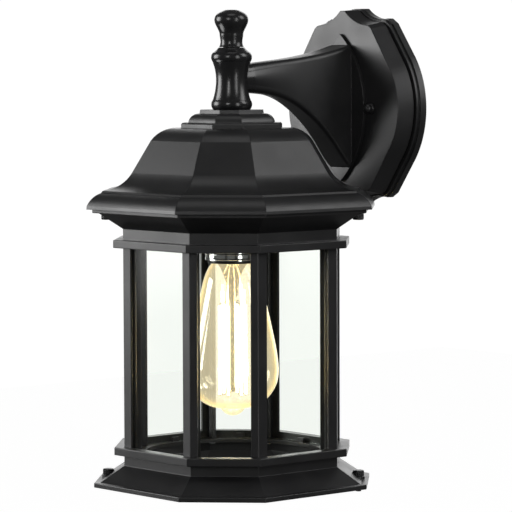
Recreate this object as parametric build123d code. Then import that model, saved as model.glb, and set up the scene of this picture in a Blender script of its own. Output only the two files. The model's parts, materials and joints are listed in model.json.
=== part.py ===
from build123d import *
import math
import os

# Outdoor wall lantern, modelled upright on its wall.
# Row frame: origin on the wall at the centre of the mounting strap, -Y out of the wall, +Z up.
# The lantern's own parts are drawn about its vertical axis, with Z = 0 at the bottom of the base,
# and placed by LANTERN. The parts at the wall are drawn straight in the row frame.

# ---- driving dimensions, mm ----
AXIS_OUT = 130.0            # lantern axis to wall
BASE_DROP = 268.0           # strap centre down to the bottom of the base
CORNERS = 8
ROOF_RATIO = 0.926          # half width across the wide faces / half width across the corner faces
WALL = 2.6                  # cast wall thickness
CAST_EDGE = 0.5             # rounding of cast edges
GAP = 0.3                   # between pieces that move apart

# frame castings: (half width across wide faces, half width across corner faces)
FLANGE = (89.9, 97.1)
LEDGE = (86.0, 92.9)
NECK = (70.5, 76.0)
RIM = (76.8, 82.9)
FLANGE_TOP = 3.4
NECK_FOOT = 15.0
RIM_LOW = 22.8
RIM_TOP = 28.4
SEAT = 23.4                 # floor that the panes stand on
RELAMP_RADIUS = 63.0        # round opening in each casting
STACK = 199.3               # bottom of the base to the top of the cage

LEG_THICK = 1.9
LEG_WIDE = 8.0
LEG_NARROW = 5.0
LEG_ROUND = 2.0             # rounding of a post's outer corner
WEB_THICK = 2.6
WEB_REACH = 12.7
PORT_REACH = 7.5            # screw channel, from the post's outer corner
PORT_RADIUS = 2.2
POST_SCREW_RADIUS = 1.2
POST_SCREW_HEAD = (2.4, 1.6)    # radius, height

PANE_THICK = 2.2
PANE_SHY = 0.2              # play round a pane
PANE_EDGE_WIDE = 4.8        # pane edge, from the post's outer corner
PANE_EDGE_NARROW = 3.9
TAB = (6.0, 1.2, 3.4)       # cast tab that holds a pane's edge

THUMB_OUT = 90.3            # thumb screw axis, from the lantern axis
THUMB_DIRS = (45.0, 225.0)
THUMB_SEAT = 5.2
THUMB_HEAD_RADIUS = 4.0
THUMB_HEAD = 4.2
THUMB_SHANK_RADIUS = 2.0

ROOF_EAVE = 198.5
ROOF_TOP = 255.2
CAP_TOP = 268.4
HUB_TOP = 312.6
FINIAL_TOP = 339.6

SPIGOT_RADIUS = 6.0         # step under the finial, sunk in the hub
SPIGOT_DEPTH = 1.6
STUD_FOOT = 301.0           # lower end of the finial's stud

NIPPLE_RADIUS = 5.0
NIPPLE_BORE = 3.9
NIPPLE_LOW = 193.0
NIPPLE_HIGH = 283.0

SOCKET_LIP = 158.8
SOCKET_TOP = 193.0
CUP_RADIUS = 19.0
CUP_LOW = 161.0
THREAD_FOOT = 165.0         # where the lamp thread begins
THREAD_PITCH = 3.6
BULB_SEAL = 160.6           # envelope's upper end, sealed in the screw base
FILAMENTS = 6
FILAMENT_LOW = 64.0
FILAMENT_HIGH = 128.0
FILAMENT_RING = 9.5

ARM_END = 105.0             # arm's end plane, from the lantern axis
ARM_FLANGE = 2.4
ARM_SCREW_Z = (238.5, 305.0)
ARM_SCREW_RADIUS = 1.9
# (from the axis, bottom, top, half width, corner rounding, bow of the sides)
ARM_STATIONS = [
    (6.0, 280.7, 300.2, 8.2, 5.6, 1.2),
    (16.0, 280.2, 301.1, 8.4, 5.4, 1.1),
    (30.0, 278.9, 302.5, 8.9, 4.8, 0.9),
    (45.0, 275.1, 303.9, 9.7, 4.2, 0.7),
    (60.0, 267.6, 305.5, 10.6, 3.8, 0.5),
    (75.0, 256.6, 307.6, 11.4, 3.5, 0.4),
    (90.0, 241.3, 310.4, 12.0, 3.2, 0.3),
    (ARM_END, 224.5, 314.3, 12.4, 3.0, 0.2),
]
ARM_HOLLOW = [
    (0.0, 286.0, 298.0, 5.2, 3.0, 0.3),
    (30.0, 285.0, 298.5, 5.4, 3.0, 0.3),
    (60.0, 275.5, 300.0, 7.0, 3.0, 0.3),
    (90.0, 256.5, 299.0, 8.6, 3.0, 0.3),
    (ARM_END + 4, 246.5, 298.0, 9.2, 3.0, 0.3),
]

PLATE_DEPTH = 22.6
# half outline points as (x, z): front face, then the back flange
PLATE_FRONT = [(2.5, 71.4), (13.9, 63.6), (27.5, 60.5), (30.5, 58.5), (49.0, 31.0), (59.3, 0)]
PLATE_BACK = [(5.0, 73.0), (15.2, 67.0), (30.6, 65.6), (36.3, 62.0), (54.4, 37.0), (65.6, 0)]
WIRE_HOLE_Z = 22.0
GROUND_BOSS = (22.0, -30.0)
GROUND_SCREW_X = 14.0
STUD_X = 31.0
STUD_RADIUS = 2.0
STRAP_HALF = (54.0, 8.0)
STRAP_THICK = 2.0
STRAP_STEP = 3.0
SLOT_SPACING = 88.9         # standard outlet box screws
SLOT_LENGTH = 8.0
SLOT_WIDTH = 5.0
LEAD_RADIUS = 1.1
LEAD_X = 1.9
LEAD_BACK = -12.0           # leads turn here, inside the wall plate
LEAD_HIGH = 292.0 - BASE_DROP
LEAD_END_X = 23.0
LEAD_CLIMB = 8.0

LANTERN = Location((0, -AXIS_OUT, -BASE_DROP))


def save(shape, name):
    """One STEP for one node."""
    shape.label = name
    export_step(shape, f"parts/{name}.step")


def flip(shape):
    """The upper casting is the lower one turned over."""
    return shape.mirror(Plane.XY).moved(Location((0, 0, STACK)))


# ---- eight-sided bodies ----

def ring(size):
    """The eight corners of a chamfered square, counter-clockwise from the front left."""
    wide, corner = size
    side = math.sqrt(2) * corner - wide
    return [(side, -wide), (wide, -side), (wide, side), (side, wide),
            (-side, wide), (-wide, side), (-wide, -side), (-side, -wide)]


def shrink(size, inset):
    return (size[0] - inset, size[1] - inset)


def lerp(low, high, part):
    return (low[0] + (high[0] - low[0]) * part, low[1] + (high[1] - low[1]) * part)


def stepped_body(stations):
    """A solid with flat faces between rings; stations are (size, z), from the bottom up."""
    rings = [[Vector(x, y, z) for x, y in ring(size)] for size, z in stations]
    faces = [Face(Wire.make_polygon(rings[0])), Face(Wire.make_polygon(rings[-1]))]
    for low, high in zip(rings, rings[1:]):
        for i in range(CORNERS):
            j = (i + 1) % CORNERS
            faces.append(Face(Wire.make_polygon([low[i], low[j], high[j], high[i]])))
    return Solid(Shell(faces))


def ring_edges(body, size, z):
    """The eight level edges along one ring."""
    corners = [Vector(x, y, z) for x, y in ring(size)]
    middles = [(corners[i - 1] + corners[i]) * 0.5 for i in range(CORNERS)]
    return [edge for edge in body.edges()
            if any((edge @ 0.5 - middle).length < 0.01 for middle in middles)]


def mitre_edges(body):
    """The edges that run down between neighbouring sides."""
    return [edge for edge in body.edges() if abs((edge @ 0).Z - (edge @ 1).Z) > 0.5]


def mitred_body(edges):
    """A solid whose eight sides follow one profile, drawn in XZ at the corner, bottom to top."""
    angles = [math.degrees(math.atan2(y, x)) for x, y in ring((ROOF_RATIO, 1.0))]
    faces = []
    for edge in edges:
        turned = [edge.rotate(Axis.Z, angle) for angle in angles]
        for i in range(CORNERS):
            here = turned[i]
            there = turned[(i + 1) % CORNERS]
            if edge.geom_type == GeomType.LINE:
                faces.append(Face(Wire.make_polygon([here @ 0, here @ 1, there @ 1, there @ 0])))
            else:
                faces.append(Face.make_surface_from_curves(here, there))
    for end in (edges[0] @ 0, edges[-1] @ 1):
        corners = [Vector(end.X, 0, end.Z).rotate(Axis.Z, angle) for angle in angles]
        faces.append(Face(Wire.make_polygon(corners)))
    return Solid(Shell(faces))


def corner_at(size, z):
    """A profile point for mitred_body, from the half width across the corner faces."""
    spread = math.hypot(*ring((ROOF_RATIO, 1.0))[0])
    return (size * spread, 0, z)


def drum(radius, low, high, at=(0, 0)):
    """An upright cylinder from low to high."""
    return Pos(at[0], at[1], (low + high) / 2) * Cylinder(radius, high - low)


def polar(radius, angle):
    return (radius * math.cos(math.radians(angle)), radius * math.sin(math.radians(angle)))


def turned_body(edges):
    """Revolve a profile drawn in XZ, closed along the axis."""
    start = edges[0] @ 0
    end = edges[-1] @ 1
    edges = list(edges) + [Line(end, start)]
    return revolve(make_face(edges), Axis.Z)


def dome(radius, low, height):
    """A ball-shaped cap's profile, from (radius, low) up to the axis."""
    ball = (radius ** 2 + height ** 2) / (2 * height)
    half_turn = math.atan2(height, radius)
    middle = (ball * math.sin(half_turn), 0, low + height - ball + ball * math.cos(half_turn))
    return ThreePointArc((radius, 0, low), middle, (0, 0, low + height))


# ---- frame castings ----

def thumb_boss():
    """Round seats for the thumb screws, level with the flange's edge."""
    return [drum(4.6, 0, THUMB_SEAT, polar(THUMB_OUT, angle)) for angle in THUMB_DIRS]


def pane_tabs():
    """Small cast tabs that stop the foot of each pane from moving inwards."""
    width, thick, height = TAB
    tabs = []
    for i in range(CORNERS):
        out = (NECK[0] if i % 2 == 0 else NECK[1]) - 2 * PANE_SHY - LEG_THICK - PANE_THICK
        tab = Pos(out - thick / 2, 0, SEAT + height / 2 - 0.5) * Box(thick, width, height + 1.0)
        tabs.append(tab.rotate(Axis.Z, 45.0 * i))
    return tabs


def frame_casting():
    """Flange, sloped skirt, neck and rim in one, with a round opening; drawn as the base."""
    body = stepped_body([(FLANGE, 0), (FLANGE, FLANGE_TOP), (LEDGE, FLANGE_TOP), (NECK, NECK_FOOT),
                         (NECK, RIM_LOW), (RIM, RIM_LOW), (RIM, RIM_TOP)]).clean()
    sharp = mitre_edges(body)
    for size, z in ((FLANGE, 0), (FLANGE, FLANGE_TOP), (RIM, RIM_LOW), (RIM, RIM_TOP)):
        sharp += ring_edges(body, size, z)
    body = fillet(sharp, CAST_EDGE)
    for boss in thumb_boss():
        body += boss
    slope = (NECK_FOOT - FLANGE_TOP) / (LEDGE[1] - NECK[1])
    drop = WALL * math.hypot(1, slope)
    inner = shrink(NECK, WALL)
    shoulder = NECK_FOOT + slope * WALL - drop
    mouth = (LEDGE[0] - drop / slope + FLANGE_TOP / slope, LEDGE[1] - drop / slope + FLANGE_TOP / slope)
    hollow = stepped_body([(mouth, 0), (inner, shoulder), (inner, SEAT - WALL)])
    for boss in thumb_boss():
        hollow -= boss
    body -= hollow
    glass_room = shrink(NECK, LEG_THICK)
    body -= stepped_body([(glass_room, SEAT), (glass_room, RIM_TOP + 1)])
    body -= drum(RELAMP_RADIUS, -1, RIM_TOP + 1)
    for angle in THUMB_DIRS:
        body -= drum(THUMB_HEAD_RADIUS + 0.6, THUMB_SEAT, NECK_FOOT, polar(THUMB_OUT, angle))
        body -= drum(THUMB_SHANK_RADIUS + 0.35, -1, NECK_FOOT, polar(THUMB_OUT, angle))
    for i in range(CORNERS):
        body -= drum(POST_SCREW_RADIUS + 0.3, 0, SEAT + 1, post_port(i))
    for tab in pane_tabs():
        body += tab
    return body


# ---- posts, panes and their screws ----

def corner_frame(index):
    """A post's outer corner, the sides that meet there, and the direction straight in."""
    corners = [Vector(x, y) for x, y in ring(NECK)]
    corner = corners[index]
    before = corners[index - 1] - corner
    after = corners[(index + 1) % CORNERS] - corner
    inward = (before.normalized() + after.normalized()).normalized()
    return corner, before, after, inward


def post_port(index):
    """The centre of a post's screw channel."""
    corner, before, after, inward = corner_frame(index)
    port = corner + inward * PORT_REACH
    return (port.X, port.Y)


def post_legs(index):
    """The two legs in one outline, with a rounded outer corner."""
    corner, before, after, inward = corner_frame(index)
    start = LEG_ROUND * math.tan(math.radians(22.5))
    nose = corner + inward * (LEG_ROUND / math.cos(math.radians(22.5)) - LEG_ROUND)
    heel = corner + inward * (LEG_THICK / math.cos(math.radians(22.5)))
    ends = []
    for side, other in ((before, after), (after, before)):
        along = side.normalized()
        inner = Vector(-along.Y, along.X)
        if inner.dot(inward) < 0:
            inner = -inner
        tip = corner + along * (LEG_WIDE if side.length > other.length else LEG_NARROW)
        ends.append((corner + along * start, tip, tip + inner * LEG_THICK))
    (bend_a, tip_a, lip_a), (bend_b, tip_b, lip_b) = ends
    return make_face([Line(tip_a, bend_a), ThreePointArc(bend_a, nose, bend_b), Line(bend_b, tip_b),
                      Line(tip_b, lip_b), Line(lip_b, heel), Line(heel, lip_a), Line(lip_a, tip_a)])


def post(index):
    """A Y-section bar at one corner: two legs outside the panes and a web between them."""
    corner, before, after, inward = corner_frame(index)
    web = Rectangle(WEB_REACH - 1.5, WEB_THICK)
    middle = corner + inward * ((WEB_REACH + 1.5) / 2)
    web = Pos(middle.X, middle.Y) * Rot(0, 0, math.degrees(math.atan2(inward.Y, inward.X))) * web
    port = post_port(index)
    rib = Pos(*port) * Circle(PORT_RADIUS)
    up = (0, 0, 1)
    outer = extrude(post_legs(index) + web, STACK - 2 * RIM_TOP, dir=up).moved(Location((0, 0, RIM_TOP)))
    room = Face(Wire.make_polygon([Vector(a, b, 0) for a, b in ring(shrink(NECK, LEG_THICK + 0.1))]))
    core = extrude((web + rib) & room, STACK - 2 * SEAT, dir=up).moved(Location((0, 0, SEAT)))
    bar = outer + core
    for low in (SEAT - 1, STACK - SEAT - 9):
        bar -= drum(POST_SCREW_RADIUS, low, low + 10, port)
    return bar


def pane(index):
    """A flat pane; even numbers are the wide faces, starting at +X."""
    wide = index % 2 == 0
    size = NECK[0] if wide else NECK[1]
    side = math.sqrt(2) * NECK[1] - NECK[0]
    half = side - PANE_EDGE_WIDE if wide else (NECK[0] - side) / math.sqrt(2) - PANE_EDGE_NARROW
    out = size - LEG_THICK - PANE_SHY - PANE_THICK / 2
    height = STACK - 2 * (SEAT + PANE_SHY)
    sheet = Pos(out, 0, STACK / 2) * Box(PANE_THICK, 2 * half, height)
    return sheet.rotate(Axis.Z, 45.0 * index)


def post_screws():
    """Sixteen screws through the castings into the ends of the posts."""
    head_radius, head = POST_SCREW_HEAD
    screws = []
    for i in range(CORNERS):
        screw = drum(POST_SCREW_RADIUS, SEAT - WALL, SEAT + 7, post_port(i))
        screw += drum(head_radius, SEAT - WALL - head, SEAT - WALL, post_port(i))
        screws += [screw, flip(screw)]
    return Compound(screws)


def thumb_screw(index):
    """A slotted, knurled-rim screw; its head stands on the lower casting's skirt."""
    x, y = polar(THUMB_OUT, THUMB_DIRS[index])
    low = THUMB_SEAT + GAP
    head = drum(THUMB_HEAD_RADIUS, low, low + THUMB_HEAD, (x, y))
    head = fillet(head.edges().group_by(Axis.Z)[-1], 0.9)
    head -= Pos(x, y, low + THUMB_HEAD) * Box(1.1, 2.4 * THUMB_HEAD_RADIUS, 2.4)
    for angle in range(0, 360, 20):
        cx, cy = polar(THUMB_HEAD_RADIUS + 0.35, angle)
        head -= drum(0.6, low, low + THUMB_HEAD - 1.0, (x + cx, y + cy))
    return head + drum(THUMB_SHANK_RADIUS - 0.1, -5.6, low, (x, y))


def thumb_nut(index):
    """The hexagon nut under the base's flange that a lower thumb screw turns in."""
    x, y = polar(THUMB_OUT, THUMB_DIRS[index])
    nut = extrude(Pos(x, y) * RegularPolygon(3.9, 6), 2.6)
    nut -= drum(THUMB_SHANK_RADIUS + 0.3, -1, 4, (x, y))
    return nut.moved(Location((0, 0, -2.6)))


# ---- roof ----

def roof():
    """Hollow cast roof: eave, ovolo, bead, cove, slope and shoulder, with two lugs inside."""
    p = corner_at
    outer = mitred_body([
        Line(p(101.1, ROOF_EAVE), p(100.9, 200.8)),
        ThreePointArc(p(100.9, 200.8), p(97.7, 205.7), p(91.0, 210.0)),
        Line(p(91.0, 210.0), p(89.9, 211.5)),
        Line(p(89.9, 211.5), p(88.1, 211.9)),
        ThreePointArc(p(88.1, 211.9), p(77.2, 216.0), p(69.6, 224.0)),
        Line(p(69.6, 224.0), p(56.5, 246.7)),
        ThreePointArc(p(56.5, 246.7), p(51.2, 251.9), p(43.5, ROOF_TOP)),
    ])
    outer = fillet(mitre_edges(outer), 0.8)
    inner = mitred_body([
        Line(p(93.5, ROOF_EAVE), p(92.0, 205.0)),
        Line(p(92.0, 205.0), p(86.9, 209.2)),
        ThreePointArc(p(86.9, 209.2), p(75.2, 214.0), p(67.2, 222.4)),
        Line(p(67.2, 222.4), p(54.4, 244.9)),
        ThreePointArc(p(54.4, 244.9), p(49.8, 249.6), p(42.8, ROOF_TOP - WALL)),
    ])
    shell = outer - inner
    recess = (FLANGE[0] + 0.6, FLANGE[1] + 0.6)
    shell -= stepped_body([(recess, ROOF_EAVE - 1), (recess, STACK + GAP)])
    for angle in THUMB_DIRS:
        spot = polar(THUMB_OUT, angle)
        shell += drum(5.2, STACK + GAP, 206.0, spot)
        shell -= drum(THUMB_SHANK_RADIUS + 0.3, STACK, 205.4, spot)
    return shell - drum(NIPPLE_RADIUS + 0.2, 240, 260)


def roof_cap():
    """Two-tier cap between the roof and the hub."""
    p = corner_at
    body = mitred_body([
        Line(p(35.4, ROOF_TOP), p(35.4, 258.2)),
        Line(p(35.4, 258.2), p(34.4, 259.2)),
        Line(p(34.4, 259.2), p(30.3, 259.2)),
        Line(p(30.3, 259.2), p(30.3, 260.0)),
        ThreePointArc(p(30.3, 260.0), p(28.2, 263.6), p(24.0, 265.6)),
        Line(p(24.0, 265.6), p(22.5, 265.6)),
        Line(p(22.5, 265.6), p(22.1, CAP_TOP)),
    ])
    return body - drum(NIPPLE_RADIUS + 0.2, 250, 270)


# ---- arm, hub and finial ----

def arm_section(station):
    """An upright section with bowed sides and rounded corners."""
    out, low, high, half, corner, bow = station
    side = half - bow
    flat = side - corner
    slack = corner * (1 - math.sqrt(0.5))
    middle = (low + high) / 2
    points = [(flat, high), (side - slack, high - slack), (side, high - corner), (half, middle),
              (side, low + corner), (side - slack, low + slack), (flat, low), (0, low - bow / 3),
              (-flat, low), (slack - side, low + slack), (-side, low + corner), (-half, middle),
              (-side, high - corner), (slack - side, high - slack), (-flat, high), (0, high + bow / 3),
              (flat, high)]
    places = [(x, out, z) for x, z in points]
    edges = [ThreePointArc(*places[i:i + 3]) for i in range(0, len(places) - 1, 2)]
    return Face(Wire(edges))


def hub():
    """Turned spool that carries the roof, the arm and the finial."""
    body = turned_body([
        Line((0, 0, CAP_TOP), (13.2, 0, CAP_TOP)),
        ThreePointArc((13.2, 0, CAP_TOP), (14.7, 0, 271.8), (13.7, 0, 275.2)),
        Spline((13.7, 0, 275.2), (12.4, 0, 279.5), (11.4, 0, 285.5), (11.2, 0, 291.0), (12.0, 0, 297.0),
               (13.7, 0, 302.6), tangents=((-0.42, 0, 1), (0.34, 0, 1))),
        ThreePointArc((13.7, 0, 302.6), (14.7, 0, 305.9), (13.5, 0, 309.0)),
        ThreePointArc((13.5, 0, 309.0), (11.0, 0, 310.9), (9.4, 0, HUB_TOP)),
        Line((9.4, 0, HUB_TOP), (0, 0, HUB_TOP)),
    ])
    return body - drum(SPIGOT_RADIUS + GAP, HUB_TOP - SPIGOT_DEPTH - GAP, HUB_TOP + 1)


def vesica(half, low, high, thick):
    """A lens outline standing on the wall plate, pointed at top and bottom."""
    mid = (low + high) / 2
    sides = [ThreePointArc((0, low), (half, mid), (0, high)),
             ThreePointArc((0, high), (-half, mid), (0, low))]
    return extrude(Plane.XZ * make_face(sides), -thick)


def arm():
    """Cast arm with its hub and end flange, hollow for the leads."""
    body = hub() + loft([arm_section(s) for s in ARM_STATIONS])
    flange = vesica(25.5, 213.7, 322.3, ARM_FLANGE).moved(Location((0, ARM_END, 0)))
    body += flange
    body -= loft([arm_section(s) for s in ARM_HOLLOW])
    body -= drum(6.0, NIPPLE_HIGH, 299.0)
    body -= drum(NIPPLE_RADIUS + 0.1, CAP_TOP - 1, NIPPLE_HIGH + 1)
    body -= drum(3.4, 298.0, HUB_TOP + 1)
    for z in ARM_SCREW_Z:
        body -= along_y(ARM_SCREW_RADIUS, ARM_END - 9, ARM_END + 6, (0, z))
    return body


def along_y(radius, near, far, at=(0, 0)):
    """A cylinder along Y from near to far, at (x, z)."""
    return Pos(at[0], (near + far) / 2, at[1]) * Rot(90, 0, 0) * Cylinder(radius, far - near)


def arm_screws():
    """Screws from inside the wall plate into the arm's solid ends."""
    screws = []
    back = ARM_END + ARM_FLANGE + WALL
    for z in ARM_SCREW_Z:
        screw = along_y(ARM_SCREW_RADIUS, ARM_END - 8, back, (0, z))
        screw += along_y(3.6, back, back + 2.4, (0, z))
        screws.append(screw)
    return Compound(screws)


def finial():
    """Turned knob on a threaded stud, with a spigot that sits in the hub."""
    low = HUB_TOP + GAP
    step = low - SPIGOT_DEPTH
    return turned_body([
        Line((0, 0, STUD_FOOT), (3.0, 0, STUD_FOOT)),
        Line((3.0, 0, STUD_FOOT), (3.0, 0, step)),
        Line((3.0, 0, step), (SPIGOT_RADIUS, 0, step)),
        Line((SPIGOT_RADIUS, 0, step), (SPIGOT_RADIUS, 0, low)),
        Line((SPIGOT_RADIUS, 0, low), (9.1, 0, low)),
        Spline((9.1, 0, low), (8.4, 0, 314.1), (7.9, 0, 317.0), (8.5, 0, 321.6), (9.6, 0, 325.4),
               tangents=((-0.9, 0, 1), (0.5, 0, 1))),
        Spline((9.6, 0, 325.4), (11.5, 0, 329.2), (12.2, 0, 332.4), (10.8, 0, 336.0), (6.3, 0, 338.7),
               (0, 0, FINIAL_TOP), tangents=((0.5, 0, 1), (-1, 0, 0))),
    ])


# ---- hanging hardware and lampholder ----

def nipple():
    return drum(NIPPLE_RADIUS, NIPPLE_LOW, NIPPLE_HIGH) - drum(NIPPLE_BORE, NIPPLE_LOW - 1, NIPPLE_HIGH + 1)


def nipple_nuts():
    """One nut under the roof and one on the lampholder."""
    under_roof = ROOF_TOP - WALL - 1.2
    nuts = []
    for top in (under_roof, SOCKET_TOP + 4.2):
        nut = extrude(RegularPolygon(8.2, 6), 3.0).moved(Location((0, 0, top - 3.0)))
        nuts.append(nut - drum(NIPPLE_RADIUS + 0.05, top - 4, top + 1))
    return Compound(nuts)


def roof_washer():
    top = ROOF_TOP - WALL
    return drum(11.0, top - 1.2, top) - drum(NIPPLE_RADIUS + 0.2, top - 2, top + 1)


def socket_cup():
    """Bright cup over the lampholder, with a rolled edge at its mouth."""
    top = SOCKET_TOP + 1.2
    body = drum(CUP_RADIUS, CUP_LOW, top)
    body = fillet(body.edges().group_by(Axis.Z)[-1], 3.0)
    for z in (CUP_LOW + 1.1, CUP_LOW + 4.6):
        body += Pos(0, 0, z) * Torus(CUP_RADIUS - 0.3, 0.7)
    body -= drum(CUP_RADIUS - 1.0, CUP_LOW - 2, SOCKET_TOP)
    return body - drum(NIPPLE_RADIUS + 0.05, SOCKET_TOP - 1, top + 1)


def socket_body():
    """Dark insulating body: a ring round the screw shell under a solid top."""
    body = drum(17.6, SOCKET_LIP, SOCKET_TOP)
    body = fillet(body.edges().group_by(Axis.Z)[0], 0.8)
    body -= drum(14.9, SOCKET_LIP - 1, 187.0)
    body -= drum(NIPPLE_RADIUS, SOCKET_TOP - 0.5, SOCKET_TOP + 1)
    for x in (-LEAD_X, LEAD_X):
        body -= drum(LEAD_RADIUS + 0.1, 186.0, SOCKET_TOP + 1, (x, 0))
    return body


def thread_wave(radius, low, high, depth):
    """Rounded rings that stand for the lamp thread, as profile edges from low to high."""
    turns = int((high - low) // THREAD_PITCH)
    edges = []
    for i in range(turns):
        z0 = low + i * THREAD_PITCH
        z1 = z0 + THREAD_PITCH / 2
        z2 = z0 + THREAD_PITCH
        edges.append(ThreePointArc((radius, 0, z0), (radius + depth, 0, (z0 + z1) / 2), (radius, 0, z1)))
        edges.append(ThreePointArc((radius, 0, z1), (radius - depth, 0, (z1 + z2) / 2), (radius, 0, z2)))
    return edges


def socket_shell():
    """Rolled screw shell, open at the bottom."""
    top = 186.9
    bore = 13.75
    outside = drum(14.8, THREAD_FOOT, top)
    wave = thread_wave(bore, THREAD_FOOT, 185.0, 0.25)
    end = wave[-1] @ 1
    foot = Line((0, 0, THREAD_FOOT), (bore, 0, THREAD_FOOT))
    inside = turned_body([foot] + wave + [Line(end, (0, 0, end.Z))])
    rim_hole = drum(13.6, end.Z - 0.1, top + 1)
    return outside - inside - rim_hole


def socket_contact():
    """Spring tongue that touches the lamp's end."""
    strip = Pos(0, 0, 186.5) * Box(16.0, 5.0, 0.8)
    button = drum(2.2, 184.6, 186.2)
    return strip + button


def bulb_outline(wall):
    """Half of the envelope's outline, set in by wall, from the tip up to the neck."""
    tip_edge = (8.9 - wall, 0, 54.4 + wall / 2)
    return [
        ThreePointArc((0, 0, 48.7 + wall), (5.6 - wall / 2, 0, 50.5 + wall), tip_edge),
        Spline(tip_edge, (23.9 - wall / 2, 0, 60.4 + wall), (31.6 - wall, 0, 72.0),
               (32.2 - wall, 0, 91.0), (26.6 - wall, 0, 119.5), (22.6 - wall, 0, 138.0),
               (18.8 - wall, 0, 151.6), (14.9 - wall, 0, 158.2)),
    ]


def bulb_envelope():
    """Clear glass bulb, 1 mm thick."""
    outer = bulb_outline(0)
    outer.append(Line(outer[-1] @ 1, (13.0, 0, BULB_SEAL)))
    outer.append(Line((13.0, 0, BULB_SEAL), (0, 0, BULB_SEAL)))
    inner = bulb_outline(1.0)
    inner.append(Line(inner[-1] @ 1, (12.0, 0, BULB_SEAL + 1)))
    inner.append(Line((12.0, 0, BULB_SEAL + 1), (0, 0, BULB_SEAL + 1)))
    return turned_body(outer) - turned_body(inner)


def bulb_base():
    """Screw base: a plain collar, a rolled thread and an insulated end."""
    radius = 13.1
    wave = thread_wave(radius, THREAD_FOOT, 180.0, 0.2)
    end = wave[-1] @ 1
    foot = Line((0, 0, BULB_SEAL), (radius, 0, BULB_SEAL))
    collar = Line((radius, 0, BULB_SEAL), (radius, 0, THREAD_FOOT))
    top = [Line(end, (10.2, 0, 182.0)), Line((10.2, 0, 182.0), (0, 0, 182.0))]
    return turned_body([foot, collar] + wave + top) - drum(12.2, BULB_SEAL - 1, 178.0)


def bulb_insulator():
    return turned_body([Line((0, 0, 182.0), (9.8, 0, 182.0)), Line((9.8, 0, 182.0), (5.4, 0, 183.4)),
                        Line((5.4, 0, 183.4), (0, 0, 183.4))])


def bulb_contact():
    return turned_body([Line((0, 0, 183.4), (4.6, 0, 183.4)), dome(4.6, 183.4, 0.9)])


def bulb_mount():
    """Glass stem with a flared foot, a rod, and a fan of support wires at each end."""
    stem = turned_body([
        Line((0, 0, 66.0), (1.3, 0, 66.0)),
        Line((1.3, 0, 66.0), (1.3, 0, 132.0)),
        Line((1.3, 0, 132.0), (4.0, 0, 136.0)),
        ThreePointArc((4.0, 0, 136.0), (5.6, 0, 148.0), (11.6, 0, 159.4)),
        Line((11.6, 0, 159.4), (0, 0, 159.4)),
    ])
    for i in range(FILAMENTS):
        x, y = polar(FILAMENT_RING, 360.0 / FILAMENTS * i)
        for hub_z, tip_z in ((133.0, FILAMENT_HIGH + 1), (69.0, FILAMENT_LOW - 1)):
            stem += rod((0, 0, hub_z), (x, y, tip_z), 0.3)
    return stem


def rod(start, end, radius):
    """A round wire from start to end."""
    line = Line(start, end)
    return sweep(Plane(origin=start, z_dir=line % 0) * Circle(radius), path=line)


def bulb_filaments():
    """Upright glowing filaments in a ring."""
    return Compound([drum(0.9, FILAMENT_LOW, FILAMENT_HIGH, polar(FILAMENT_RING, 360.0 / FILAMENTS * i))
                     for i in range(FILAMENTS)])


# ---- wall plate, in the row frame ----

def plate_face(part, out):
    """The shield outline between front (0) and back (1), at the given distance from the wall."""
    top, scoop, tip, corner, waist, side = [lerp(a, b, part) for a, b in zip(PLATE_FRONT, PLATE_BACK)]

    def at(point, flip_x, flip_z):
        return (point[0] * flip_x, -out, point[1] * flip_z)

    edges = []
    for sx, sz in ((1, 1), (-1, 1), (-1, -1), (1, -1)):
        edges.append(ThreePointArc(at(top, sx, sz), at(scoop, sx, sz), at(tip, sx, sz)))
        edges.append(Line(at(tip, sx, sz), at(corner, sx, sz)))
        edges.append(Line(at(corner, sx, sz), at(waist, sx, sz)))
    for sx in (1, -1):
        edges.append(ThreePointArc(at(waist, sx, 1), at(side, sx, 1), at(waist, sx, -1)))
    for sz in (1, -1):
        edges.append(Line(at(top, 1, sz), at(top, -1, sz)))
    return Face(Wire(edges))


def plate_slab(low_part, low_out, high_part, high_out):
    """A ruled body between two plate outlines."""
    return loft([plate_face(low_part, low_out), plate_face(high_part, high_out)], ruled=True)


def wall_plate():
    """Cast shield-shaped plate, hollow at the back, with a stepped and grooved flange."""
    body = plate_slab(1.0, 0, 1.0, 5.6)
    body += plate_slab(0.8, 5.6, 0.8, 8.6)
    body += plate_slab(0.3, 8.6, 0.3, 9.8)
    raised = plate_slab(0.52, 9.8, 0.0, PLATE_DEPTH)
    body += fillet(raised.faces().sort_by(Axis.Y)[0].edges(), CAST_EDGE)
    room = offset(plate_face(0.0, 0), -WALL)
    body -= extrude(room, amount=PLATE_DEPTH - WALL, dir=(0, -1, 0))
    for sx in (-1, 1):
        body -= along_y(STUD_RADIUS + 0.3, -PLATE_DEPTH - 1, 0, (sx * STUD_X, 0))
    for z in ARM_SCREW_Z:
        body -= along_y(ARM_SCREW_RADIUS + 0.2, -PLATE_DEPTH - 1, 0, (0, z - BASE_DROP))
    body -= along_y(8.0, -PLATE_DEPTH - 1, 0, (0, WIRE_HOLE_Z))
    body += along_y(3.6, -PLATE_DEPTH + 1, -13.0, GROUND_BOSS)
    return body - along_y(1.6, -PLATE_DEPTH + WALL, -12, GROUND_BOSS)


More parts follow.
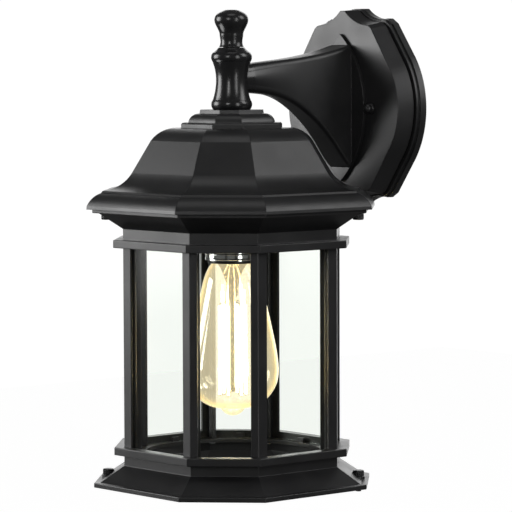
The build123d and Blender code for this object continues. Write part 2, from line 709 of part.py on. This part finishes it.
def mounting_strap():
    """Stepped steel strap; its ends lie on the wall over the outlet box screws."""
    half, tall = STRAP_HALF
    back = -STRAP_STEP
    front = back - STRAP_THICK
    points = [(-half, 0), (-39.0, 0), (-36.5, back), (36.5, back), (39.0, 0), (half, 0),
              (half, -STRAP_THICK), (38.2, -STRAP_THICK), (35.7, front), (-35.7, front),
              (-38.2, -STRAP_THICK), (-half, -STRAP_THICK)]
    body = extrude(Polygon(*points, align=None), tall, both=True)
    for sx in (-1, 1):
        slot = Plane.XZ * Pos(sx * SLOT_SPACING / 2, 0) * SlotOverall(SLOT_LENGTH, SLOT_WIDTH)
        body -= extrude(slot, 5, both=True)
        body -= along_y(STUD_RADIUS + 0.05, -6, 0, (sx * STUD_X, 0))
    return body - along_y(1.9, -6, 0, (GROUND_SCREW_X, 0))


def strap_studs():
    """Two long machine screws through the strap from behind."""
    studs = []
    for sx in (-1, 1):
        stud = along_y(STUD_RADIUS, -27.6, -STRAP_STEP, (sx * STUD_X, 0))
        stud += along_y(3.6, -STRAP_STEP, -0.9, (sx * STUD_X, 0))
        studs.append(stud)
    return Compound(studs)


def stud_nuts():
    """Hexagon nuts that lock the studs to the strap."""
    nuts = []
    front = -STRAP_STEP - STRAP_THICK
    for sx in (-1, 1):
        nut = extrude(Plane.XZ * Pos(sx * STUD_X, 0) * RegularPolygon(4.6, 6), 2.6)
        nut = nut.moved(Location((0, front, 0)))
        nuts.append(nut - along_y(STUD_RADIUS + 0.05, -9, 0, (sx * STUD_X, 0)))
    return Compound(nuts)


def cap_nut(side):
    """Ball-ended nut with a small collar."""
    base = -PLATE_DEPTH - GAP
    collar = 3.9
    ball = 3.25
    profile = [Line((0, 0, 0), (collar, 0, 0)), Line((collar, 0, 0), (collar, 0, 1.1)),
               Line((collar, 0, 1.1), (ball, 0, 1.7)), dome(ball, 1.7, 4.6)]
    nut = turned_body(profile) - drum(STUD_RADIUS + 0.35, -1, 5.3)
    return (Rot(90, 0, 0) * nut).moved(Location((side * STUD_X, base, 0)))


def ground_screw():
    """Earth screw in the strap."""
    front = -STRAP_STEP - STRAP_THICK - 0.8
    screw = along_y(1.85, front, -0.8, (GROUND_SCREW_X, 0))
    return screw + along_y(3.9, front - 2.2, front, (GROUND_SCREW_X, 0))


def ground_lug_screw():
    """Earth screw in the wall plate's boss."""
    screw = along_y(1.55, -19.0, -12.2, GROUND_BOSS)
    return screw + along_y(3.4, -12.2, -10.2, GROUND_BOSS)


def tube(points, radius, bends):
    """A wire along straight runs joined by tangent arcs."""
    path = FilletPolyline(*points, radius=bends)
    return sweep(Plane(origin=path @ 0, z_dir=path % 0) * Circle(radius), path=path)


def ground_wire():
    """Green earth wire with a ring terminal at each end."""
    ring_y = -12.6
    lug_y = -5.4
    lower = along_y(3.4, -13.0, -12.2, GROUND_BOSS) - along_y(1.6, -14, 0, GROUND_BOSS)
    upper = along_y(3.6, -5.8, -5.0, (GROUND_SCREW_X, 0)) - along_y(1.9, -7, 0, (GROUND_SCREW_X, 0))
    x, z = GROUND_BOSS
    points = [(x - 2.6, ring_y, z), (x - 9, ring_y, z + 2), (x - 12, -11.5, z + 14),
              (GROUND_SCREW_X - 1, -9, -12.5), (GROUND_SCREW_X, lug_y, -8.5), (GROUND_SCREW_X, lug_y, -2.9)]
    return lower + upper + tube(points, 0.4, 2.0)


def lead(side):
    """A supply lead from the lampholder up the stem, along the arm and into the wall plate."""
    x = side * LEAD_X
    points = [(x, -AXIS_OUT, 187.5 - BASE_DROP), (x, -AXIS_OUT, LEAD_HIGH), (x, LEAD_BACK, LEAD_HIGH),
              (side * LEAD_END_X, LEAD_BACK, LEAD_HIGH + LEAD_CLIMB)]
    return tube(points, LEAD_RADIUS, [5.0, 5.0])


def wire_nut(side):
    """Twist-on connector over the end of a lead."""
    cone = turned_body([Line((0, 0, 0), (5.2, 0, 0)), Line((5.2, 0, 0), (5.2, 0, 3.0)),
                        Line((5.2, 0, 3.0), (3.2, 0, 16.0)), Line((3.2, 0, 16.0), (0, 0, 16.0))])
    spot = (side * (LEAD_END_X + 0.5), LEAD_BACK, LEAD_HIGH + LEAD_CLIMB)
    return (Rot(0, side * 90, 0) * cone).moved(Location(spot))


def main():
    os.makedirs("parts", exist_ok=True)
    base = frame_casting()
    lantern_parts = {
        "bottom_frame": base,
        "top_frame": flip(base),
        "post_screws": post_screws(),
        "thumb_nuts": Compound([thumb_nut(i) for i in range(2)]),
        "roof": roof(),
        "roof_cap": roof_cap(),
        "arm": arm(),
        "arm_screws": arm_screws(),
        "finial": finial(),
        "nipple": nipple(),
        "nipple_nuts": nipple_nuts(),
        "roof_washer": roof_washer(),
        "socket_cup": socket_cup(),
        "socket_body": socket_body(),
        "socket_shell": socket_shell(),
        "socket_contact": socket_contact(),
        "bulb_envelope": bulb_envelope(),
        "bulb_base": bulb_base(),
        "bulb_insulator": bulb_insulator(),
        "bulb_contact": bulb_contact(),
        "bulb_mount": bulb_mount(),
        "bulb_filaments": bulb_filaments(),
    }
    for i in range(CORNERS):
        lantern_parts[f"post_{i + 1}"] = post(i)
        kind = "wide" if i % 2 == 0 else "corner"
        lantern_parts[f"pane_{kind}_{i // 2 + 1}"] = pane(i)
    for i in range(2):
        lantern_parts[f"thumb_screw_lower_{i + 1}"] = thumb_screw(i)
        lantern_parts[f"thumb_screw_upper_{i + 1}"] = flip(thumb_screw(i))
    for name, shape in lantern_parts.items():
        save(shape.moved(LANTERN), name)
    wall_parts = {
        "wall_plate": wall_plate(),
        "mounting_strap": mounting_strap(),
        "strap_studs": strap_studs(),
        "stud_nuts": stud_nuts(),
        "cap_nut_left": cap_nut(-1),
        "cap_nut_right": cap_nut(1),
        "ground_screw": ground_screw(),
        "ground_lug_screw": ground_lug_screw(),
        "ground_wire": ground_wire(),
        "lead_black": lead(-1),
        "lead_white": lead(1),
        "wire_nut_black": wire_nut(-1),
        "wire_nut_white": wire_nut(1),
    }
    for name, shape in wall_parts.items():
        save(shape, name)
    print("nodes", len(lantern_parts) + len(wall_parts))


main()
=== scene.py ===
import json
import math

import bpy
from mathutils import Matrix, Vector


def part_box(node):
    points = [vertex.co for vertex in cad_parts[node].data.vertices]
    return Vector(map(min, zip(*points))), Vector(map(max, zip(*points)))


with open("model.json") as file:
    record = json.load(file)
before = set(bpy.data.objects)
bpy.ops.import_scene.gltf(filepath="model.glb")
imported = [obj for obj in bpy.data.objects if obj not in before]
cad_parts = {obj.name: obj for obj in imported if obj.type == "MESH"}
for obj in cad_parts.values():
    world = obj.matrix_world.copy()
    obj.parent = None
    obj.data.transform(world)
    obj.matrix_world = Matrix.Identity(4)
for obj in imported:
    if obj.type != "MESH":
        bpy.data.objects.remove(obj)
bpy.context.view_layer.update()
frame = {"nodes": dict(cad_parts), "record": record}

# ---- places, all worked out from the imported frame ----
BASE_LOW, BASE_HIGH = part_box("bottom_frame")
AXIS = Vector(((BASE_LOW[0] + BASE_HIGH[0]) / 2, (BASE_LOW[1] + BASE_HIGH[1]) / 2, 0))
FOOT = BASE_LOW[2]


# ---- materials ----

# Noise scales, in features per metre
MOTTLE_SCALE = 38.0          # cloudy patches in the powder coat
PEEL_SCALE = 1400.0          # orange peel of the powder coat
DRAWING_SCALE = 260.0        # drawing marks on metal
CLOUD_SCALE = 120.0          # uneven colour of moulded plastic
GRAIN_SCALE = 2200.0         # matte grain of moulded plastic
SMEAR_SCALE = 14.0           # smears on the panes and the stem
STREAK_SCALE = 42.0          # streaks in the lamp's blown glass
HEAT_SCALE = 300.0           # uneven colour of a glowing filament
FLOOR_SCALE = 2.0

# Depths of the relief that goes into a normal, in metres
PEEL_DEPTH = 0.00006
FINE_DEPTH = 0.00004         # drawing marks and plastic grain
STREAK_DEPTH = 0.0004

# Powder coat
COAT_DARK = (0.0085, 0.0085, 0.009, 1)
COAT_LIGHT = (0.0135, 0.0135, 0.014, 1)
COAT_SPECULAR = 0.5
COAT_IOR = 1.5
EDGE_RADIUS = 0.0005         # edges look rounded by this much
EDGE_SAMPLES = 8
HUB_REACH = 0.013            # behind the lantern's axis the hub's gloss starts to fade here ...
HUB_END = 0.018              # ... and has gone here
HUB_GLOSS = 0.62             # share of the arm's roughness that the hub has

# Middle band of a noise, which rarely leaves 0.3 to 0.7
NOISE_LOW, NOISE_HIGH = 0.3, 0.7

# Glass
FACING_BLEND = 0.5           # a Layer Weight that is plain 1 - cos(angle)
PANE_POWER = 5.0             # how late the panes turn into a mirror as they tilt away
LAMP_POWER = 4.0
LAMP_MIRROR = (0.14, 0.7)    # share of mirror in the lamp's glass, face on and at its rim
LAMP_ROUGHNESS = 0.04
LAMP_GLOW = (1.0, 0.88, 0.62, 1)
LAMP_GLOW_STRENGTH = 0.95
LAMP_RIPPLE = 0.3
RIM_BAND = (0.35, 0.95)      # facing values between which the rim's tint comes in
STREAK_BAND = (0.52, 0.68)   # noise values between which a streak comes in
STREAK_SHARE = 0.55


class Nodes:
    """A short way to write one material's node tree."""

    def __init__(self, name):
        self.material = bpy.data.materials.new(name)
        self.material.use_nodes = True
        self.tree = self.material.node_tree
        self.tree.nodes.clear()
        self.out = self.add("ShaderNodeOutputMaterial")

    def fill(self, socket, value):
        """Link a socket to another, or set it to a plain value."""
        if isinstance(value, bpy.types.NodeSocket):
            self.tree.links.new(value, socket)
        else:
            socket.default_value = value

    def add(self, kind, inputs=None, **settings):
        node = self.tree.nodes.new(kind)
        for key, value in settings.items():
            setattr(node, key, value)
        for key, value in (inputs or {}).items():
            self.fill(node.inputs[key], value)
        return node

    def place(self):
        return self.add("ShaderNodeTexCoord").outputs["Object"]

    def stretched(self, scale):
        """The place, stretched along Z by an upright scale other than 1."""
        inputs = {"Vector": self.place(), "Scale": (1.0, 1.0, scale)}
        return self.add("ShaderNodeMapping", inputs).outputs[0]

    def noise(self, scale, detail=3.0, rough=0.55, vector=None):
        inputs = {"Scale": scale, "Detail": detail, "Roughness": rough}
        node = self.add("ShaderNodeTexNoise", inputs)
        self.tree.links.new(vector or self.place(), node.inputs["Vector"])
        return node.outputs["Fac"]

    def ramp(self, value, low, high, to_low, to_high, smooth=True):
        kind = "SMOOTHSTEP" if smooth else "LINEAR"
        inputs = {"Value": value, "From Min": low, "From Max": high,
                  "To Min": to_low, "To Max": to_high}
        node = self.add("ShaderNodeMapRange", inputs, interpolation_type=kind)
        return node.outputs["Result"]

    def blend(self, factor, first, second):
        """A colour mix; a Mix node's colour sockets are its inputs 6 and 7 and its output 2."""
        node = self.add("ShaderNodeMix", data_type="RGBA")
        for index, value in ((0, factor), (6, first), (7, second)):
            self.fill(node.inputs[index], value)
        return node.outputs[2]

    def math(self, kind, first, second):
        return self.add("ShaderNodeMath", {0: first, 1: second}, operation=kind).outputs[0]

    def glance(self):
        """0 where the surface is seen face on, near 1 where it is seen edge on."""
        return self.add("ShaderNodeLayerWeight", {"Blend": FACING_BLEND}).outputs["Facing"]

    def bump(self, height, strength, distance, normal=None):
        inputs = {"Height": height, "Strength": strength, "Distance": distance}
        node = self.add("ShaderNodeBump", inputs)
        if normal is not None:
            self.tree.links.new(normal, node.inputs["Normal"])
        return node.outputs["Normal"]

    def soft_edge(self, radius):
        node = self.add("ShaderNodeBevel", {"Radius": radius}, samples=EDGE_SAMPLES)
        return node.outputs["Normal"]

    def principled(self, colour, roughness, **inputs):
        """A Principled shader; a name's underscores stand for the spaces of its socket."""
        sockets = {"Base Color": colour, "Roughness": roughness}
        for key, value in inputs.items():
            sockets[key.replace("_", " ")] = value
        return self.add("ShaderNodeBsdfPrincipled", sockets)

    def mix(self, share, first, second):
        inputs = {0: share, 1: first.outputs[0], 2: second.outputs[0]}
        return self.add("ShaderNodeMixShader", inputs)

    def surface(self, shader):
        self.tree.links.new(shader.outputs[0], self.out.inputs["Surface"])
        return self.material


def grey(value):
    return (value, value, value, 1.0)


def powder_coat(name, rough_low, rough_high, orange_peel, glossy_hub=False):
    """Satin black powder coat: fine orange peel, slight mottling, softened edges."""
    n = Nodes(name)
    mottle = n.noise(MOTTLE_SCALE, 4.0)
    grain = n.noise(PEEL_SCALE, 2.0)
    colour = n.blend(mottle, COAT_DARK, COAT_LIGHT)
    rough = n.ramp(mottle, NOISE_LOW, NOISE_HIGH, rough_low, rough_high)
    if glossy_hub:
        spot = n.add("ShaderNodeSeparateXYZ", {0: n.place()})
        far = n.math("SUBTRACT", spot.outputs["Y"], AXIS.y)
        near = n.ramp(far, HUB_REACH, HUB_END, HUB_GLOSS, 1.0)
        rough = n.math("MULTIPLY", rough, near)
    normal = n.bump(grain, orange_peel, PEEL_DEPTH, n.soft_edge(EDGE_RADIUS))
    return n.surface(n.principled(colour, rough, Normal=normal, IOR=COAT_IOR,
                                  Specular_IOR_Level=COAT_SPECULAR))


def metal(name, low, high, rough):
    """Plated or rolled metal with faint drawing marks."""
    n = Nodes(name)
    marks = n.noise(DRAWING_SCALE, 4.0, 0.6, n.stretched(9.0))
    colour = n.blend(marks, low, high)
    roughness = n.ramp(marks, NOISE_LOW, NOISE_HIGH, rough * 0.8, rough * 1.3)
    normal = n.bump(marks, 0.15, FINE_DEPTH)
    return n.surface(n.principled(colour, roughness, Metallic=1.0, Normal=normal))


def moulded(name, low, high, rough, grain_strength=0.2):
    """Moulded plastic or smooth opaque glass, with a fine grain."""
    n = Nodes(name)
    cloud = n.noise(CLOUD_SCALE)
    grain = n.noise(GRAIN_SCALE, 2.0)
    colour = n.blend(cloud, low, high)
    roughness = n.ramp(grain, NOISE_LOW, NOISE_HIGH, rough * 0.85, rough * 1.15)
    normal = n.bump(grain, grain_strength, FINE_DEPTH)
    return n.surface(n.principled(colour, roughness, Normal=normal))


def thin_glass(name, tint_low, tint_high, face_on, glancing, smear):
    """Glass that doesn't bend the view: see-through face on, a mirror at a glancing angle."""
    n = Nodes(name)
    cloud = n.noise(SMEAR_SCALE, 4.0)
    tint = n.blend(cloud, tint_low, tint_high)
    rough = n.ramp(cloud, 0.35, 0.75, smear * 0.5, smear)
    clear = n.add("ShaderNodeBsdfTransparent", {"Color": tint})
    mirror = n.principled(tint, rough, Metallic=1.0)
    tilt = n.math("POWER", n.glance(), PANE_POWER)
    share = n.ramp(tilt, 0.0, 1.0, face_on, glancing, smooth=False)
    return n.surface(n.mix(share, clear, mirror))


def amber_glass(name, middle, rim, streak):
    """Blown glass, tinted most where the wall is seen edge on, with wavy upright streaks.

    A faint glow of its own stands for the light that scatters round the filaments.
    """
    n = Nodes(name)
    wave = n.noise(STREAK_SCALE, 2.0, 0.5, n.stretched(0.12))
    glance = n.glance()
    tint = n.blend(n.ramp(glance, *RIM_BAND, 0.0, 1.0), middle, rim)
    tint = n.blend(n.ramp(wave, *STREAK_BAND, 0.0, STREAK_SHARE), tint, streak)
    clear = n.add("ShaderNodeBsdfTransparent", {"Color": tint})
    mirror = n.principled(tint, LAMP_ROUGHNESS, Metallic=1.0,
                          Normal=n.bump(wave, LAMP_RIPPLE, STREAK_DEPTH),
                          Emission_Color=LAMP_GLOW, Emission_Strength=LAMP_GLOW_STRENGTH)
    tilt = n.math("POWER", glance, LAMP_POWER)
    share = n.ramp(tilt, 0.0, 1.0, *LAMP_MIRROR, smooth=False)
    return n.surface(n.mix(share, clear, mirror))


def glowing(name, strength, low, high):
    """An incandescent surface, its colour slightly uneven."""
    n = Nodes(name)
    colour = n.blend(n.noise(HEAT_SCALE, 2.0), low, high)
    return n.surface(n.principled(colour, 0.5, Emission_Color=colour,
                                  Emission_Strength=strength))


# powder coat: least and most roughness, strength of the orange peel
BLACK = powder_coat("satin_black", 0.34, 0.42, 0.35)
BLACK_ARM = powder_coat("satin_black_arm", 0.34, 0.42, 0.12, glossy_hub=True)
BLACK_GLOSS = powder_coat("gloss_black", 0.22, 0.28, 0.05)
HARDWARE = powder_coat("hardware_black", 0.28, 0.36, 0.25)

# metal and plastic: darkest and lightest colour, roughness
ZINC = metal("zinc_plate", (0.55, 0.56, 0.58, 1), (0.72, 0.73, 0.74, 1), 0.32)
BRIGHT = metal("bright_nickel", (0.80, 0.80, 0.81, 1), (0.93, 0.93, 0.92, 1), 0.12)
BRASS = metal("rolled_brass", (0.62, 0.44, 0.17, 1), (0.80, 0.60, 0.28, 1), 0.25)
CAP_METAL = metal("lamp_cap", (0.70, 0.70, 0.70, 1), (0.85, 0.85, 0.86, 1), 0.22)
SOLDER = metal("solder", (0.55, 0.55, 0.56, 1), (0.70, 0.70, 0.71, 1), 0.35)
GREEN_SCREW = moulded("green_paint", (0.01, 0.14, 0.03, 1), (0.02, 0.20, 0.05, 1), 0.35)
GREEN_WIRE = moulded("green_insulation", (0.01, 0.16, 0.04, 1), (0.02, 0.22, 0.06, 1), 0.45)
BLACK_WIRE = moulded("black_insulation", grey(0.012), grey(0.02), 0.45)
WHITE_WIRE = moulded("white_insulation", grey(0.62), grey(0.72), 0.45)
ORANGE = moulded("orange_connector", (0.60, 0.12, 0.01, 1), (0.72, 0.17, 0.02, 1), 0.4)
PHENOLIC = moulded("dark_phenolic", (0.008, 0.007, 0.006, 1), (0.016, 0.013, 0.011, 1), 0.35)
BLACK_GLASS = moulded("black_glass", grey(0.004), grey(0.01), 0.08, 0.05)

# thin glass: two tints, share of mirror face on and glancing, roughness of a smear
PANE = thin_glass("pane_glass", (0.975, 0.985, 0.972, 1), (0.985, 0.995, 0.982, 1),
                  0.006, 0.9, 0.25)
STEM_GLASS = thin_glass("stem_glass", (0.97, 0.93, 0.84, 1), (0.99, 0.96, 0.90, 1),
                        0.02, 0.2, 0.1)

# amber glass: tint in the middle, at the rim and in a streak
BULB_GLASS = amber_glass("bulb_glass", (0.99, 0.975, 0.93, 1), (0.90, 0.80, 0.55, 1),
                         (0.88, 0.84, 0.72, 1))

FILAMENT = glowing("filament", 14.0, (1.0, 0.80, 0.42, 1), (1.0, 0.88, 0.55, 1))

SLOT_MATERIALS = {
    "black_casting": BLACK, "black_hardware": HARDWARE, "zinc_steel": ZINC,
    "green_screw": GREEN_SCREW, "green_wire": GREEN_WIRE, "black_wire": BLACK_WIRE,
    "white_wire": WHITE_WIRE, "orange_plastic": ORANGE, "bright_cup": BRIGHT,
    "dark_phenolic": PHENOLIC, "brass_shell": BRASS, "bulb_glass": BULB_GLASS,
    "bulb_cap": CAP_METAL, "bulb_insulator": BLACK_GLASS, "solder": SOLDER,
    "stem_glass": STEM_GLASS, "filament": FILAMENT, "pane_glass": PANE,
}
NODE_MATERIALS = {"arm": BLACK_ARM, "finial": BLACK_GLOSS}


def dress_cad_nodes():
    """Every CAD node gets the material of its slot; the arm and finial have their own."""
    for part in frame["record"]["subparts"]:
        slot_material = SLOT_MATERIALS[part["material_slot"]]
        material = NODE_MATERIALS.get(part["node"], slot_material)
        for holder in frame["nodes"][part["node"]].material_slots:
            holder.material = material


dress_cad_nodes()


# ---- studio ----

CAMERA_PLACE = Vector((1.6142, -1.5113, 0.0406))
CAMERA_LENS = 208.9          # mm, on a sensor SENSOR_WIDTH mm wide
SENSOR_WIDTH = 36.0
CAMERA_YAW = -0.0696         # radians, from the diagonal between +X and -Y
CAMERA_PITCH = -0.0682       # radians, below level
CAMERA_ROLL = -0.0033
LIGHT_TARGET_HEIGHT = -0.05  # m, about the middle of the cage

# azimuth and elevation in degrees, then distance, width and height in metres and power in watts
SOFTBOXES = {
    "left_softbox": (220.6, 11, 2.0, 1.1, 1.2, 30),
    "left_low_softbox": (222.0, -38, 2.2, 1.0, 0.8, 14),
    "back_right_softbox": (40.0, 29, 2.2, 1.0, 1.3, 17),
    "background_glow": (131.0, 8, 2.4, 2.2, 2.0, 24),
    "front_strip": (-6.0, 6, 1.9, 0.40, 1.3, 8),
    "near_strip": (-62.0, 15, 2.1, 0.36, 0.8, 7),
    "overhead": (-40.0, 80, 1.8, 0.9, 0.9, 3),
}

BACKDROP_STRENGTH = 1.02     # the white that the camera sees
ROOM_STRENGTH = 0.10         # the even light that everything else sees

FLOOR_REACH = 6.0            # m, from the origin to each side
FLOOR_DROP = 0.75            # m, from the lantern's foot down
FLOOR_DARK, FLOOR_LIGHT = 0.22, 0.26
FLOOR_ROUGHNESS = 0.9
FLOOR_GLOW = 0.96            # makes the floor about as white as the backdrop


def add_camera():
    """A long lens at the lantern's front corner, tilted slightly down."""
    data = bpy.data.cameras.new("camera")
    data.lens = CAMERA_LENS
    data.sensor_width = SENSOR_WIDTH
    camera = bpy.data.objects.new("camera", data)
    bpy.context.scene.collection.objects.link(camera)
    camera.location = CAMERA_PLACE
    camera.rotation_euler = (math.pi / 2 + CAMERA_PITCH, 0, math.pi / 4 - CAMERA_YAW)
    camera.rotation_euler.rotate_axis("Z", CAMERA_ROLL)
    bpy.context.scene.camera = camera


def softbox(name, azimuth, elevation, distance, width, height, power):
    """A large area light that faces the lantern; azimuth is measured from +X towards +Y."""
    data = bpy.data.lights.new(name, "AREA")
    data.shape = "RECTANGLE"
    data.size = width
    data.size_y = height
    data.energy = power
    light = bpy.data.objects.new(name, data)
    bpy.context.scene.collection.objects.link(light)
    a = math.radians(azimuth)
    e = math.radians(elevation)
    way = Vector((math.cos(a) * math.cos(e), math.sin(a) * math.cos(e), math.sin(e)))
    target = Vector((AXIS.x, AXIS.y, LIGHT_TARGET_HEIGHT))
    light.location = target + way * distance
    light.rotation_euler = (-way).to_track_quat("-Z", "Y").to_euler()
    light.visible_camera = False


def add_world():
    """White behind the object, a dim even room for everything else."""
    world = bpy.data.worlds.new("studio")
    bpy.context.scene.world = world
    world.use_nodes = True
    tree = world.node_tree
    tree.nodes.clear()
    out = tree.nodes.new("ShaderNodeOutputWorld")
    path = tree.nodes.new("ShaderNodeLightPath")
    seen = tree.nodes.new("ShaderNodeMath")
    seen.operation = "MAXIMUM"
    mix = tree.nodes.new("ShaderNodeMixShader")
    tree.links.new(path.outputs["Is Camera Ray"], seen.inputs[0])
    tree.links.new(path.outputs["Is Transmission Ray"], seen.inputs[1])
    tree.links.new(seen.outputs[0], mix.inputs[0])
    for socket, strength in ((mix.inputs[1], ROOM_STRENGTH), (mix.inputs[2], BACKDROP_STRENGTH)):
        white = tree.nodes.new("ShaderNodeBackground")
        white.inputs["Color"].default_value = grey(1.0)
        white.inputs["Strength"].default_value = strength
        tree.links.new(white.outputs[0], socket)
    tree.links.new(mix.outputs[0], out.inputs["Surface"])


def add_floor():
    """A plain pale floor well below the hanging lantern."""
    mesh = bpy.data.meshes.new("floor")
    level = FOOT - FLOOR_DROP
    turns = ((-1, -1), (1, -1), (1, 1), (-1, 1))
    corners = [(x * FLOOR_REACH, y * FLOOR_REACH, level) for x, y in turns]
    mesh.from_pydata(corners, [], [(0, 1, 2, 3)])
    floor = bpy.data.objects.new("floor", mesh)
    bpy.context.scene.collection.objects.link(floor)
    n = Nodes("pale_floor")
    colour = n.blend(n.noise(FLOOR_SCALE, 2.0), grey(FLOOR_DARK), grey(FLOOR_LIGHT))
    shader = n.principled(colour, FLOOR_ROUGHNESS, Emission_Color=grey(1.0),
                          Emission_Strength=FLOOR_GLOW)
    mesh.materials.append(n.surface(shader))
    floor.visible_glossy = False
    floor.visible_diffuse = False


add_camera()
add_world()
add_floor()
for light_name, settings in SOFTBOXES.items():
    softbox(light_name, *settings)

scene = bpy.context.scene
scene.view_settings.view_transform = "Standard"
